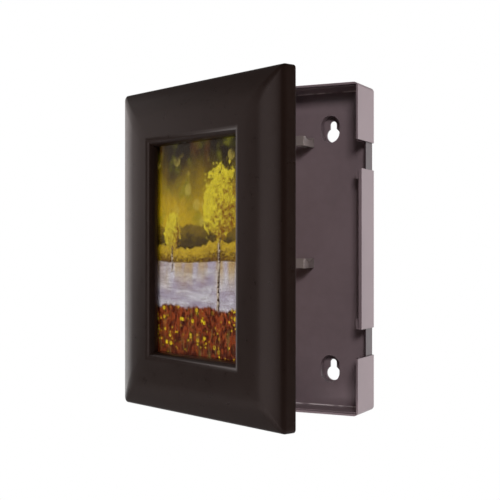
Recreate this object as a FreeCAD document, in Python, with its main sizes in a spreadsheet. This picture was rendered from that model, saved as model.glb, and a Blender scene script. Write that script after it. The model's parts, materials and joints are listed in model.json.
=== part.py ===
# Key box with a picture-frame door.
# A shallow plastic box hangs on four wall screws, with six key hooks on its back panel.
# A thick moulded picture frame is its door. Two cranked arms behind the door turn on upright pins
# in notches of the left wall, and two magnets hold the free side.
# Frame: X to the right, Y into the wall, Z up, millimetres. The origin is the middle of the wall face.
# Door pieces are drawn closed and then swung open about the hinge pins.
import FreeCAD, Part
import math
import os
import Sketcher

doc = FreeCAD.newDocument("key_box")
dim = doc.addObject("Spreadsheet::Sheet", "dim")

SIZES = {
    # wall box
    "box_width": 168,
    "box_height": 224,
    "box_depth": 32,
    "box_corner": 3,
    "box_wall": 2.2,
    "rim_step": 0.8,
    "rim_deep": 2.5,
    "panel_setback": 24,
    "panel_thick": 2,
    "panel_fillet": 0.8,
    # openings in both side walls
    "notch_start": 54.5,
    "notch_height": 19,
    "notch_deep": 19.2,
    "grip_setback": 7.4,
    "strip_inset": 1.2,
    # keyhole wells for the wall screws
    "well_width": 14,
    "well_height": 19,
    "well_across": 54.5,
    "well_up": 84,
    "well_wall": 1.6,
    "well_floor": 1.6,
    "entry_radius": 5,
    "slot_width": 5,
    "slot_rise": 7.5,
    # ribs behind the panel
    "rib_thick": 1.8,
    "rib_across": 20,
    "rib_up": 42,
    # hinge
    "pin_radius": 1.1,
    "pin_fit": 0.08,
    "pin_setback": 12,
    "pin_overlap": 6,
    "knuckle_radius": 2.4,
    "lug_height": 7,
    "arm_gap": 0.45,
    "arm_web": 3.2,
    "arm_fillet": 2,
    "foot_length": 17,
    "foot_thick": 2.5,
    "foot_screw_inset": 6,
    "foot_screw_pitch": 10,
    # door frame moulding
    "door_width": 178,
    "door_height": 227,
    "door_thick": 16,
    "door_corner": 5,
    "door_gap": 0.6,
    "door_edge": 7,
    "door_open": 24,
    "roll_width": 20,
    "roll_radius": 4,
    "door_wall": 2.4,
    "opening_width": 92,
    "opening_height": 145,
    "opening_round": 3.5,
    "lip_deep": 6.5,
    "ledge_width": 14,
    "ledge_wall": 2.5,
    "hollow_wall": 3,
    "hollow_deep": 5.8,
    "core_inset": 13,
    "core_deep": 11,
    "post_width": 7,
    # cover behind the moulding
    "liner_thick": 2.2,
    "liner_gap": 0.2,
    "liner_screw_inset": 16.5,
    # glazing, print and backing board
    "print_width": 102,
    "print_height": 152,
    "print_thick": 0.3,
    "print_gap": 0.5,
    "glass_thick": 1.2,
    "backing_thick": 2.5,
    "backing_notch": 7,
    # turn clips
    "clip_width": 6,
    "clip_reach": 12,
    "clip_thick": 1,
    "clip_lift": 0.15,
    # screws
    "screw_radius": 1.4,
    "screw_length": 7,
    "screw_fit": 0.08,
    "head_radius": 2.7,
    "head_height": 1.5,
    # magnetic catch
    "magnet_radius": 4,
    "magnet_thick": 3,
    "magnet_across": 22,
    "magnet_inset": 12,
    "magnet_proud": 0.3,
    "magnet_fit": 0.05,
    "magnet_boss_wall": 1.6,
    "strike_radius": 5,
    "strike_thick": 1.2,
    "strike_boss": 13,
    # key hooks
    "hook_width": 6.8,
    "hook_height": 6.7,
    "hook_reach": 18,
    "hook_pitch": 39,
    "hook_upper": 75,
    "hook_lower": -10,
    "hook_lip": 3,
    "hook_saddle": 2.2,
    "hook_shoulder": 3,
    "hook_wall": 1.5,
    "hook_round": 0.9,
    "neck_width": 5,
    "neck_height": 4.6,
    "neck_gap": 0.15,
    "barb_length": 2.6,
    "barb_lift": 0.6,
}

for row, (alias, number) in enumerate(SIZES.items(), start=1):
    dim.set(f"A{row}", alias.replace("_", " "))
    dim.set(f"B{row}", str(number))
    dim.setAlias(f"B{row}", alias)
doc.recompute()


def value(expression):
    """Number that an expression of sheet cells gives."""
    result = dim.evalExpression(str(expression))
    return float(getattr(result, "Value", result))


def new_body(label):
    """Empty body whose label is the node's name."""
    body = doc.addObject("PartDesign::Body", label)
    body.Label = label
    return body


def new_sketch(body, name, role, offset="0"):
    """Sketch on one of the body's origin planes, moved along the plane's normal."""
    plane = next(f for f in body.Origin.OriginFeatures if f.Role == role)
    sketch = body.newObject("Sketcher::SketchObject", name)
    sketch.AttachmentSupport = [(plane, "")]
    sketch.MapMode = "FlatFace"
    sketch.setExpression("AttachmentOffset.Base.z", str(offset))
    return sketch


def fix_point(geometry, vertex, x, y):
    """Rules that bind one vertex of a sketch to two expressions."""
    for kind, expression in (("DistanceX", x), ("DistanceY", y)):
        yield Sketcher.Constraint(kind, -1, 1, geometry, vertex, value(expression)), expression


def apply_rules(sketch, rules):
    """Add constraints in one go, each with the expression that drives it, if it has one."""
    indexes = sketch.addConstraint([constraint for constraint, _ in rules])
    for index, (_, expression) in zip(indexes, rules):
        if expression is not None:
            sketch.setExpression(f"Constraints[{index}]", str(expression))


def outline(sketch, points):
    """Closed outline through points (x, y). A point (x, y, radius, turn) starts an arc to the next
    point, with its centre on the left for turn 1 and on the right for turn -1."""
    first = sketch.GeometryCount
    ends = []
    spots = [FreeCAD.Vector(value(p[0]), value(p[1]), 0) for p in points]
    for i, point in enumerate(points):
        start, end = spots[i], spots[(i + 1) % len(points)]
        if len(point) == 2:
            sketch.addGeometry(Part.LineSegment(start, end), False)
            ends.append((1, 2))
            continue
        radius, turn = value(point[2]), point[3]
        chord = end - start
        reach = math.sqrt(max(radius ** 2 - chord.Length ** 2 / 4, 0))
        left = FreeCAD.Vector(-chord.y, chord.x, 0).normalize()
        centre = start + chord * 0.5 + left * reach * turn
        a, b = start - centre, end - centre
        from_angle, to_angle = math.atan2(a.y, a.x), math.atan2(b.y, b.x)
        if turn < 0:
            from_angle, to_angle = to_angle, from_angle
        circle = Part.Circle(centre, FreeCAD.Vector(0, 0, 1), radius)
        sketch.addGeometry(Part.ArcOfCircle(circle, from_angle, to_angle), False)
        ends.append((1, 2) if turn > 0 else (2, 1))
    rules = []
    for i, point in enumerate(points):
        following = (i + 1) % len(points)
        meeting = Sketcher.Constraint(
            "Coincident", first + i, ends[i][1], first + following, ends[following][0])
        rules.append((meeting, None))
        rules.extend(fix_point(first + i, ends[i][0], point[0], point[1]))
        if len(point) > 2:
            rules.append((Sketcher.Constraint("Radius", first + i, value(point[2])), point[2]))
    apply_rules(sketch, rules)


def rectangle(sketch, x0, x1, y0, y1):
    """Closed rectangle between two X and two Y expressions."""
    outline(sketch, [(x0, y0), (x1, y0), (x1, y1), (x0, y1)])


def centred(sketch, width, height, corner=None):
    """Rectangle about the sketch's origin, with round corners if a radius is given."""
    x, y = f"({width}) / 2", f"({height}) / 2"
    if corner is None:
        rectangle(sketch, f"-{x}", x, f"-{y}", y)
        return
    inner_x, inner_y = f"({x} - {corner})", f"({y} - {corner})"
    outline(sketch, [
        (f"-{inner_x}", f"-{y}"), (inner_x, f"-{y}", corner, 1),
        (x, f"-{inner_y}"), (x, inner_y, corner, 1),
        (inner_x, y), (f"-{inner_x}", y, corner, 1),
        (f"-{x}", inner_y), (f"-{x}", f"-{inner_y}", corner, 1),
    ])


def circle(sketch, x, y, radius):
    """Circle bound to its centre and radius."""
    index = sketch.addGeometry(
        Part.Circle(FreeCAD.Vector(value(x), value(y), 0), FreeCAD.Vector(0, 0, 1), value(radius)), False)
    size = Sketcher.Constraint("Radius", index, value(radius))
    apply_rules(sketch, [*fix_point(index, 3, x, y), (size, radius)])


def octagon(sketch, x, y, radius):
    """Eight-sided hole or shank whose corners lie on a circle, for screws that cut their own thread."""
    sides = 8
    corners = [(side + 0.5) * 360 / sides for side in range(sides)]
    outline(sketch, [(f"{x} + {radius} * cos({angle} deg)", f"{y} + {radius} * sin({angle} deg)")
                     for angle in corners])


def slot(sketch, x, y, along, run, radius, square_end=False):
    """Slot from the centre (x, y), running along a unit direction. Its ends are round, or the far one
    is cut off square."""
    dx, dy = along

    def point(forward, left):
        return (f"{x} + {dx} * ({forward}) - {dy} * ({left})",
                f"{y} + {dy} * ({forward}) + {dx} * ({left})")

    far_end = [
        (*point(run, f"-{radius}"), radius, 1),
        (*point(f"{run} + {radius}", "0"), radius, 1),
        point(run, radius),
    ]
    if square_end:
        far_end = [point(f"{run} + {radius}", f"-{radius}"), point(f"{run} + {radius}", radius)]
    outline(sketch, [
        point("0", f"-{radius}"),
        *far_end,
        (*point("0", radius), radius, 1),
        (*point(f"-{radius}", "0"), radius, 1),
    ])


def pad(body, name, sketch, length, reverse=False, symmetric=False):
    """Add material on a sketch."""
    feature = body.newObject("PartDesign::Pad", name)
    feature.Profile = sketch
    feature.setExpression("Length", str(length))
    feature.Reversed = reverse
    if symmetric:
        feature.SideType = "Symmetric"
    doc.recompute()
    return feature


def pocket(body, name, sketch, length, reverse=False, symmetric=False):
    """Cut a sketch out of the body, and stop if nothing was cut."""
    before = body.Shape.Volume
    feature = body.newObject("PartDesign::Pocket", name)
    feature.Profile = sketch
    feature.setExpression("Length", str(length))
    feature.Reversed = reverse
    if symmetric:
        feature.SideType = "Symmetric"
    doc.recompute()
    if body.Shape.Volume >= before - 1e-6:
        raise RuntimeError(f"{body.Label}: {name} cuts nothing")
    return feature


def dress(body, kind, name, keep, size):
    """Fillet or chamfer the edges of the body that pass a test."""
    base = body.Tip
    names = [f"Edge{i}" for i, edge in enumerate(base.Shape.Edges, start=1) if keep(edge)]
    if not names:
        raise RuntimeError(f"{body.Label}: {name} finds no edge")
    feature = body.newObject(f"PartDesign::{kind}", name)
    feature.Base = (base, names)
    feature.setExpression("Radius" if kind == "Fillet" else "Size", str(size))
    doc.recompute()
    return feature


def near(number, target):
    """True where two coordinates agree."""
    return abs(number - target) < 1e-4


def flat_at(edge, axis, target):
    """True where both ends of an edge lie at one coordinate."""
    box = edge.BoundBox
    return near(getattr(box, f"{axis}Min"), target) and near(getattr(box, f"{axis}Max"), target)


# Places that several pieces share. Depths are measured forwards from the wall face, along -Y.
PANEL = "(dim.box_depth - dim.panel_setback)"
NOTCH_END = "(dim.notch_start + dim.notch_height)"
NOTCH_MIDDLE = "(dim.notch_start + dim.notch_height / 2)"
PIN_X = "(dim.knuckle_radius - dim.box_width / 2)"
PIN_DEPTH = "(dim.box_depth - dim.pin_setback)"
DOOR_BACK = "(dim.box_depth + dim.door_gap)"
DOOR_FRONT = f"({DOOR_BACK} + dim.door_thick)"
GLASS_FACE = f"({DOOR_FRONT} - dim.lip_deep)"
PRINT_FACE = f"({GLASS_FACE} - dim.glass_thick)"
BACKING_FACE = f"({PRINT_FACE} - dim.print_thick)"
LEDGE = f"({BACKING_FACE} - dim.backing_thick)"
LINER_SEAT = f"({DOOR_BACK} + dim.liner_thick)"
WINDOW_WIDTH = "(dim.print_width + 2 * dim.print_gap + 2 * dim.ledge_width)"
WINDOW_HEIGHT = "(dim.print_height + 2 * dim.print_gap + 2 * dim.ledge_width)"
MAGNET_UP = "(dim.door_height / 2 - dim.magnet_inset)"
FOOT_SCREW_X = f"({PIN_X} - dim.knuckle_radius + dim.foot_length - dim.foot_screw_inset)"
LINER_SCREW_X = "(dim.door_width / 2 - dim.liner_screw_inset)"
LINER_SCREW_Z = "(dim.door_height / 2 - dim.liner_screw_inset)"
CLIP_X = "(dim.print_width / 2 + dim.print_gap + dim.ledge_width / 2)"
CLIP_Z = "(dim.print_height / 2 + dim.print_gap + dim.ledge_width / 2)"
HOOK_COLUMNS = {"left": -1, "middle": 0, "right": 1}
HOOK_ROWS = {"upper": "dim.hook_upper", "lower": "dim.hook_lower"}
SIDES = (-1, 1)


def foot_screw_places():
    """Centres of the screws that hold the two hinge arms, as X and Z expressions."""
    for up in SIDES:
        for side in SIDES:
            yield FOOT_SCREW_X, f"{up} * {NOTCH_MIDDLE} + {side} * dim.foot_screw_pitch / 2"


def liner_screw_places():
    """Centres of the screws that hold the cover behind the moulding."""
    for x in SIDES:
        for z in SIDES:
            yield f"{x} * {LINER_SCREW_X}", f"{z} * {LINER_SCREW_Z}"


def clip_places():
    """Centres of the four clips round the backing board, and which way each one points."""
    return {
        "clip_top": ("0", CLIP_Z, (0, -1)),
        "clip_bottom": ("0", f"-{CLIP_Z}", (0, 1)),
        "clip_left": (f"-{CLIP_X}", "0", (1, 0)),
        "clip_right": (CLIP_X, "0", (-1, 0)),
    }


def swing(piece):
    """Turn a door piece about the hinge axis to the angle at which the door stands open."""
    turn = "(dim.door_open * 1 deg)"
    pin_y = f"(-{PIN_DEPTH})"
    piece.Placement = FreeCAD.Placement(FreeCAD.Vector(), FreeCAD.Rotation(FreeCAD.Vector(0, 0, -1), 1))
    piece.setExpression("Placement.Rotation.Angle", "dim.door_open")
    piece.setExpression("Placement.Base.x", f"{PIN_X} * (1 - cos{turn}) - {pin_y} * sin{turn}")
    piece.setExpression("Placement.Base.y", f"{pin_y} * (1 - cos{turn}) + {PIN_X} * sin{turn}")


def make_back_box():
    """Wall box: side walls, set-back panel, wells, ribs, hinge lugs and catch bosses."""
    body = new_body("back_box")
    inner_width = "(dim.box_width - 2 * dim.box_wall)"
    inner_height = "(dim.box_height - 2 * dim.box_wall)"

    sketch = new_sketch(body, "box_outline", "XZ_Plane")
    centred(sketch, "dim.box_width", "dim.box_height", "dim.box_corner")
    pad(body, "box_block", sketch, "dim.box_depth")

    sketch = new_sketch(body, "front_outline", "XZ_Plane", "dim.box_depth")
    centred(sketch, inner_width, inner_height)
    pocket(body, "front_cavity", sketch, "dim.panel_setback")

    sketch = new_sketch(body, "rear_outline", "XZ_Plane")
    centred(sketch, inner_width, inner_height)
    pocket(body, "rear_cavity", sketch, f"{PANEL} - dim.panel_thick", reverse=True)

    def panel_corner(edge):
        return flat_at(edge, "Y", -value(PANEL)) and edge.Length > value("dim.box_width") / 2

    dress(body, "Fillet", "panel_corner", panel_corner, "dim.panel_fillet")

    sketch = new_sketch(body, "rim_outline", "XZ_Plane", "dim.box_depth")
    rim = "2 * dim.rim_step"
    centred(sketch, f"{inner_width} + {rim}", f"{inner_height} + {rim}")
    pocket(body, "rim_rebate", sketch, "dim.rim_deep")

    add_rear_ribs(body)
    add_wells(body)
    add_hinge_lugs(body)
    add_catch_bosses(body)
    open_side_walls(body)

    sketch = new_sketch(body, "hook_slots", "XZ_Plane", PANEL)
    half_width = "(dim.neck_width / 2 + dim.neck_gap)"
    half_height = "(dim.neck_height / 2 + dim.neck_gap)"
    for column in HOOK_COLUMNS.values():
        for row in HOOK_ROWS.values():
            x = f"{column} * dim.hook_pitch"
            rectangle(sketch, f"{x} - {half_width}", f"{x} + {half_width}",
                      f"{row} - {half_height}", f"{row} + {half_height}")
    pocket(body, "hook_slots_cut", sketch, "dim.panel_thick")
    return body


def add_rear_ribs(body):
    """Ribs across the rear cavity, flush with the wall face."""
    sketch = new_sketch(body, "upright_ribs", "XZ_Plane")
    half = "dim.rib_thick / 2"
    tall = "(dim.box_height / 2 - dim.box_wall / 2)"
    for side in SIDES:
        x = f"{side} * dim.rib_across"
        rectangle(sketch, f"{x} - {half}", f"{x} + {half}", f"-{tall}", tall)
    pad(body, "upright_ribs_pad", sketch, f"{PANEL} - dim.panel_thick / 2")

    sketch = new_sketch(body, "level_ribs", "XZ_Plane")
    wide = "(dim.box_width / 2 - dim.box_wall / 2)"
    for level in (-1, 0, 1):
        z = f"{level} * dim.rib_up"
        rectangle(sketch, f"-{wide}", wide, f"{z} - {half}", f"{z} + {half}")
    pad(body, "level_ribs_pad", sketch, f"{PANEL} - dim.panel_thick / 2")


def add_wells(body):
    """Oval wells down to the wall face, each with a keyhole in its floor."""
    run = "(dim.well_height - dim.well_width)"
    centres = [(f"{x} * dim.well_across", f"{z} * dim.well_up") for x in SIDES for z in SIDES]

    sketch = new_sketch(body, "well_walls", "XZ_Plane")
    for x, z in centres:
        slot(sketch, x, f"{z} - {run} / 2", (0, 1), run, "(dim.well_width / 2 + dim.well_wall)")
    pad(body, "well_walls_pad", sketch, f"{PANEL} - dim.panel_thick / 2")

    sketch = new_sketch(body, "wells", "XZ_Plane", PANEL)
    for x, z in centres:
        slot(sketch, x, f"{z} - {run} / 2", (0, 1), run, "(dim.well_width / 2)")
    pocket(body, "wells_cut", sketch, f"{PANEL} - dim.well_floor")

    entry = "(dim.well_height / 2 - dim.entry_radius - dim.well_wall / 2)"
    sketch = new_sketch(body, "keyhole_entries", "XZ_Plane", PANEL)
    for x, z in centres:
        circle(sketch, x, f"{z} - {entry}", "dim.entry_radius")
    pocket(body, "keyhole_entries_cut", sketch, PANEL)

    sketch = new_sketch(body, "keyhole_slots", "XZ_Plane", PANEL)
    for x, z in centres:
        slot(sketch, x, f"{z} - {entry}", (0, 1), "dim.slot_rise", "(dim.slot_width / 2)")
    pocket(body, "keyhole_slots_cut", sketch, PANEL)


def add_hinge_lugs(body):
    """Lugs above and below each notch, from the panel up to round the hinge pin."""
    inner = f"(-{PIN_X} - dim.knuckle_radius)"
    outer = "(dim.box_width / 2 - dim.box_wall / 2)"
    for name, low, high in (
        ("outer", NOTCH_END, f"{NOTCH_END} + dim.lug_height"),
        ("inner", "dim.notch_start - dim.lug_height", "dim.notch_start"),
    ):
        sketch = new_sketch(body, f"{name}_lugs", "XZ_Plane", PANEL)
        for x in SIDES:
            for z in SIDES:
                xs = sorted((f"{x} * {inner}", f"{x} * {outer}"), key=value)
                zs = sorted((f"{z} * ({low})", f"{z} * ({high})"), key=value)
                rectangle(sketch, xs[0], xs[1], zs[0], zs[1])
        pad(body, f"{name}_lugs_pad", sketch, f"{PIN_DEPTH} - {PANEL} + dim.knuckle_radius")

    hole_start = "(dim.notch_start - dim.lug_height)"
    for up in SIDES:
        name = "upper" if up > 0 else "lower"
        sketch = new_sketch(body, f"{name}_pin_holes", "XY_Plane", f"{up} * {hole_start}")
        for x in SIDES:
            circle(sketch, f"{x} * {PIN_X}", f"-{PIN_DEPTH}", "dim.pin_radius")
        pocket(body, f"{name}_pin_holes_cut", sketch,
               "dim.notch_height + 2 * dim.lug_height", reverse=up > 0)


def add_catch_bosses(body):
    """Bosses on the top and bottom walls that carry the steel discs of the catch."""
    half = "dim.strike_boss / 2"
    outer = "(dim.box_height / 2 - dim.box_wall / 2)"
    sketch = new_sketch(body, "catch_bosses", "XZ_Plane", PANEL)
    for z in SIDES:
        zs = sorted((f"{z} * ({MAGNET_UP} - {half})", f"{z} * {outer}"), key=value)
        rectangle(sketch, f"dim.magnet_across - {half}", f"dim.magnet_across + {half}", zs[0], zs[1])
    pad(body, "catch_bosses_pad", sketch, "dim.panel_setback")

    sketch = new_sketch(body, "catch_seats", "XZ_Plane", "dim.box_depth")
    for z in SIDES:
        circle(sketch, "dim.magnet_across", f"{z} * {MAGNET_UP}", "dim.strike_radius")
    pocket(body, "catch_seats_cut", sketch, "dim.strike_thick")


def open_side_walls(body):
    """Notches for the hinge arms and the set-back grip between them, alike in both side walls."""
    front = "(-dim.box_depth - dim.rim_deep)"
    notch = "(dim.notch_deep - dim.box_depth)"
    grip = "(dim.grip_setback - dim.box_depth)"
    sketch = new_sketch(body, "side_openings", "YZ_Plane")
    outline(sketch, [
        (front, f"-{NOTCH_END}"), (notch, f"-{NOTCH_END}"),
        (notch, "-dim.notch_start"), (grip, "-dim.notch_start"),
        (grip, "dim.notch_start"), (notch, "dim.notch_start"),
        (notch, NOTCH_END), (front, NOTCH_END),
    ])
    pocket(body, "side_openings_cut", sketch, "dim.box_width + dim.box_wall", symmetric=True)

    sketch = new_sketch(body, "strip_insets", "XZ_Plane")
    for x in SIDES:
        for z in SIDES:
            xs = sorted((f"{x} * (dim.box_width / 2 - dim.strip_inset)",
                         f"{x} * (dim.box_width / 2 + dim.strip_inset)"), key=value)
            zs = sorted((f"{z} * dim.notch_start", f"{z} * {NOTCH_END}"), key=value)
            rectangle(sketch, xs[0], xs[1], zs[0], zs[1])
    pocket(body, "strip_insets_cut", sketch, "dim.box_depth - dim.notch_deep", reverse=True)


def make_hook(name, column, row):
    """Key hook: a square arm with a dished top, cored from below, and a neck with two barbs."""
    body = new_body(name)
    half = "(dim.hook_height / 2)"
    saddle_radius = (f"((dim.hook_reach - dim.hook_shoulder - dim.hook_lip) ^ 2 / 8 / dim.hook_saddle"
                     f" + dim.hook_saddle / 2)")
    sketch = new_sketch(body, "arm_side", "YZ_Plane")
    outline(sketch, [
        ("0", f"-{half}"), ("0", half), ("-dim.hook_shoulder", half, saddle_radius, -1),
        ("-(dim.hook_reach - dim.hook_lip)", half), ("-dim.hook_reach", half),
        ("-dim.hook_reach", f"-{half}"),
    ])
    pad(body, "arm", sketch, "dim.hook_width", symmetric=True)

    def tip_side(edge):
        upright = edge.BoundBox.ZLength > value("dim.hook_height") / 2
        return upright and flat_at(edge, "Y", -value("dim.hook_reach"))

    dress(body, "Fillet", "tip_round", tip_side, "dim.hook_round")

    sketch = new_sketch(body, "core", "XY_Plane", f"-{half}")
    rectangle(sketch, "-(dim.hook_width / 2 - dim.hook_wall)", "dim.hook_width / 2 - dim.hook_wall",
              "-(dim.hook_reach - dim.hook_wall)", "-dim.hook_wall")
    pocket(body, "core_cut", sketch, "dim.hook_height - dim.hook_saddle - dim.hook_wall", reverse=True)

    sketch = new_sketch(body, "neck", "XZ_Plane")
    centred(sketch, "dim.neck_width", "dim.neck_height")
    pad(body, "neck_pad", sketch, "dim.panel_thick + dim.neck_gap + dim.barb_length", reverse=True)

    neck = "(dim.neck_height / 2)"
    seat = "(dim.panel_thick + dim.neck_gap)"
    end = f"({seat} + dim.barb_length)"
    sketch = new_sketch(body, "barbs", "YZ_Plane")
    outline(sketch, [
        (seat, f"-{neck} - dim.barb_lift"), (end, f"-{neck} + dim.barb_lift"),
        (end, f"{neck} - dim.barb_lift"), (seat, f"{neck} + dim.barb_lift"),
    ])
    pad(body, "barbs_pad", sketch, "dim.neck_width", symmetric=True)

    body.setExpression("Placement.Base.x", f"{column} * dim.hook_pitch")
    body.setExpression("Placement.Base.y", f"-{PANEL}")
    body.setExpression("Placement.Base.z", row)
    return body


def make_pin(name, up):
    """Upright hinge pin, pressed into the lugs above and below one notch."""
    body = new_body(name)
    sketch = new_sketch(body, "pin_section", "XY_Plane")
    circle(sketch, PIN_X, f"-{PIN_DEPTH}", "dim.pin_radius")
    pad(body, "pin", sketch, "dim.notch_height + 2 * dim.pin_overlap", symmetric=True)
    body.setExpression("Placement.Base.z", f"{up} * {NOTCH_MIDDLE}")
    return body


def make_strike(name, up):
    """Steel disc of the catch, sunk into its boss."""
    body = new_body(name)
    sketch = new_sketch(body, "disc", "XZ_Plane", "dim.box_depth - dim.strike_thick")
    circle(sketch, "dim.magnet_across", f"{up} * {MAGNET_UP}", "dim.strike_radius")
    pad(body, "disc_pad", sketch, "dim.strike_thick")
    return body


def roll_off(sketch, edge, side, swap):
    """Area outside the frame's rounded front edge, between the side wall and the flat face.
    A small arc leaves the side wall and runs smoothly into a large one that meets the face."""
    w, rise, r = "dim.roll_width", "(dim.door_thick - dim.door_edge)", "dim.roll_radius"
    large = f"((({w} - {r}) ^ 2 + {rise} ^ 2 - {r} ^ 2) / (2 * ({rise} - {r})))"
    join_in = f"({r} - {r} * ({w} - {r}) / ({large} - {r}))"
    join_up = f"({r} * ({large} - {rise}) / ({large} - {r}))"
    steps = [
        ("0", "dim.door_edge", r), (join_in, f"(dim.door_edge + {join_up})", large),
        (w, "dim.door_thick", None), (w, "(dim.door_thick + dim.door_wall)", None),
        ("(-dim.door_wall)", "(dim.door_thick + dim.door_wall)", None),
        ("(-dim.door_wall)", "dim.door_edge", None),
    ]
    points = []
    for inward, high, radius in steps:
        across = f"{side} * ({edge} - {inward})"
        depth = f"-({DOOR_BACK} + {high})"
        point = (depth, across) if swap else (across, depth)
        turn = side if swap else -side
        points.append(point if radius is None else (*point, radius, turn))
    outline(sketch, points)


def make_door_frame():
    """Door moulding: broad rounded borders round the picture, hollow and rebated behind."""
    body = new_body("door_frame")
    screw_places = list(foot_screw_places()) + list(liner_screw_places())
    magnet_places = [("dim.magnet_across", f"{z} * {MAGNET_UP}") for z in SIDES]
    sketch = new_sketch(body, "door_outline", "XZ_Plane", DOOR_BACK)
    centred(sketch, "dim.door_width", "dim.door_height", "dim.door_corner")
    pad(body, "door_block", sketch, "dim.door_thick")

    sketch = new_sketch(body, "roll_top_bottom", "YZ_Plane")
    for side in SIDES:
        roll_off(sketch, "dim.door_height / 2", side, True)
    pocket(body, "roll_top_bottom_cut", sketch, "dim.door_width + dim.door_wall", symmetric=True)

    sketch = new_sketch(body, "roll_left_right", "XY_Plane")
    for side in SIDES:
        roll_off(sketch, "dim.door_width / 2", side, False)
    pocket(body, "roll_left_right_cut", sketch, "dim.door_height + dim.door_wall", symmetric=True)

    sketch = new_sketch(body, "opening", "XZ_Plane", DOOR_BACK)
    centred(sketch, "dim.opening_width", "dim.opening_height")
    pocket(body, "opening_cut", sketch, "dim.door_thick", reverse=True)

    def opening_edge(edge):
        reach = value("(dim.opening_width + dim.door_width) / 4")
        inside = edge.BoundBox.XMax < reach and edge.BoundBox.XMin > -reach
        return inside and flat_at(edge, "Y", -value(DOOR_FRONT))

    dress(body, "Fillet", "opening_round", opening_edge, "dim.opening_round")

    sketch = new_sketch(body, "picture_pocket", "XZ_Plane", DOOR_BACK)
    centred(sketch, "dim.print_width + 2 * dim.print_gap", "dim.print_height + 2 * dim.print_gap")
    pocket(body, "picture_pocket_cut", sketch, "dim.door_thick - dim.lip_deep", reverse=True)

    sketch = new_sketch(body, "ledge_recess", "XZ_Plane", DOOR_BACK)
    centred(sketch, WINDOW_WIDTH, WINDOW_HEIGHT)
    pocket(body, "ledge_recess_cut", sketch, f"{LEDGE} - {DOOR_BACK}", reverse=True)

    sketch = new_sketch(body, "liner_rebate", "XZ_Plane", DOOR_BACK)
    centred(sketch, "dim.door_width - 2 * dim.door_wall", "dim.door_height - 2 * dim.door_wall")
    pocket(body, "liner_rebate_cut", sketch, "dim.liner_thick", reverse=True)

    def hollow(name, inset, deep):
        sketch = new_sketch(body, name, "XZ_Plane", LINER_SEAT)
        centred(sketch, f"dim.door_width - 2 * {inset}", f"dim.door_height - 2 * {inset}")
        centred(sketch, f"{WINDOW_WIDTH} + 2 * dim.ledge_wall", f"{WINDOW_HEIGHT} + 2 * dim.ledge_wall")
        pocket(body, f"{name}_cut", sketch, deep, reverse=True)

    hollow("hollow", "dim.hollow_wall", "dim.hollow_deep")
    hollow("core", "dim.core_inset", "dim.core_deep")

    def posts(name, places, half, deep):
        sketch = new_sketch(body, name, "XZ_Plane", LINER_SEAT)
        for x, z in places:
            rectangle(sketch, f"{x} - {half}", f"{x} + {half}", f"{z} - {half}", f"{z} + {half}")
        pad(body, f"{name}_pad", sketch, deep)

    posts("screw_posts", screw_places, "dim.post_width / 2", "dim.core_deep")
    posts("magnet_posts", magnet_places,
          "(dim.magnet_radius + dim.magnet_fit + dim.magnet_boss_wall)", "dim.hollow_deep")

    sketch = new_sketch(body, "screw_holes", "XZ_Plane", LINER_SEAT)
    for x, z in screw_places:
        octagon(sketch, x, z, "dim.screw_radius")
    pocket(body, "screw_holes_cut", sketch, "dim.screw_length", reverse=True)

    sketch = new_sketch(body, "magnet_seats", "XZ_Plane", LINER_SEAT)
    for x, z in magnet_places:
        circle(sketch, x, z, "dim.magnet_radius + dim.magnet_fit")
    pocket(body, "magnet_seats_cut", sketch,
           "dim.magnet_thick - dim.magnet_proud - dim.liner_thick", reverse=True)

    sketch = new_sketch(body, "clip_holes", "XZ_Plane", LEDGE)
    for x, z, _ in clip_places().values():
        octagon(sketch, x, z, "dim.screw_radius")
    pocket(body, "clip_holes_cut", sketch, "dim.screw_length", reverse=True)
    return body


def make_liner():
    """Flat cover that closes the hollow behind the moulding, with a window for the backing board."""
    body = new_body("door_liner")
    rim = "2 * (dim.door_wall + dim.liner_gap)"
    sketch = new_sketch(body, "liner_outline", "XZ_Plane", DOOR_BACK)
    centred(sketch, f"dim.door_width - {rim}", f"dim.door_height - {rim}")
    centred(sketch, WINDOW_WIDTH, WINDOW_HEIGHT)
    pad(body, "liner", sketch, "dim.liner_thick")

    sketch = new_sketch(body, "holes", "XZ_Plane", DOOR_BACK)
    for x, z in list(foot_screw_places()) + list(liner_screw_places()):
        octagon(sketch, x, z, "(dim.screw_radius + dim.screw_fit)")
    for z in SIDES:
        circle(sketch, "dim.magnet_across", f"{z} * {MAGNET_UP}", "dim.magnet_radius + dim.magnet_fit")
    pocket(body, "holes_cut", sketch, "dim.liner_thick", reverse=True)
    return body


def make_sheet(name, face, thick):
    """Flat sheet of the print's size, whose front is at the given depth."""
    body = new_body(name)
    sketch = new_sketch(body, "sheet_outline", "XZ_Plane", f"{face} - {thick}")
    centred(sketch, "dim.print_width", "dim.print_height")
    pad(body, "sheet", sketch, thick)
    return body


def make_backing():
    """Backing board with a finger notch at its top edge."""
    body = make_sheet("backing_board", BACKING_FACE, "dim.backing_thick")
    sketch = new_sketch(body, "finger_notch", "XZ_Plane", BACKING_FACE)
    circle(sketch, "dim.print_width / 4", "dim.print_height / 2", "dim.backing_notch")
    pocket(body, "finger_notch_cut", sketch, "dim.backing_thick")
    return body


def make_clip(name, x, z, along):
    """Turn clip: a flat strip, round about its screw, that swings over the edge of the backing board."""
    body = new_body(name)
    radius = "(dim.clip_width / 2)"
    sketch = new_sketch(body, "clip_outline", "XZ_Plane", f"{LEDGE} - dim.clip_lift - dim.clip_thick")
    slot(sketch, x, z, along, f"(dim.clip_reach - {radius})", radius, square_end=True)
    circle(sketch, x, z, "dim.screw_radius + dim.screw_fit")
    pad(body, "clip", sketch, "dim.clip_thick")
    return body


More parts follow.
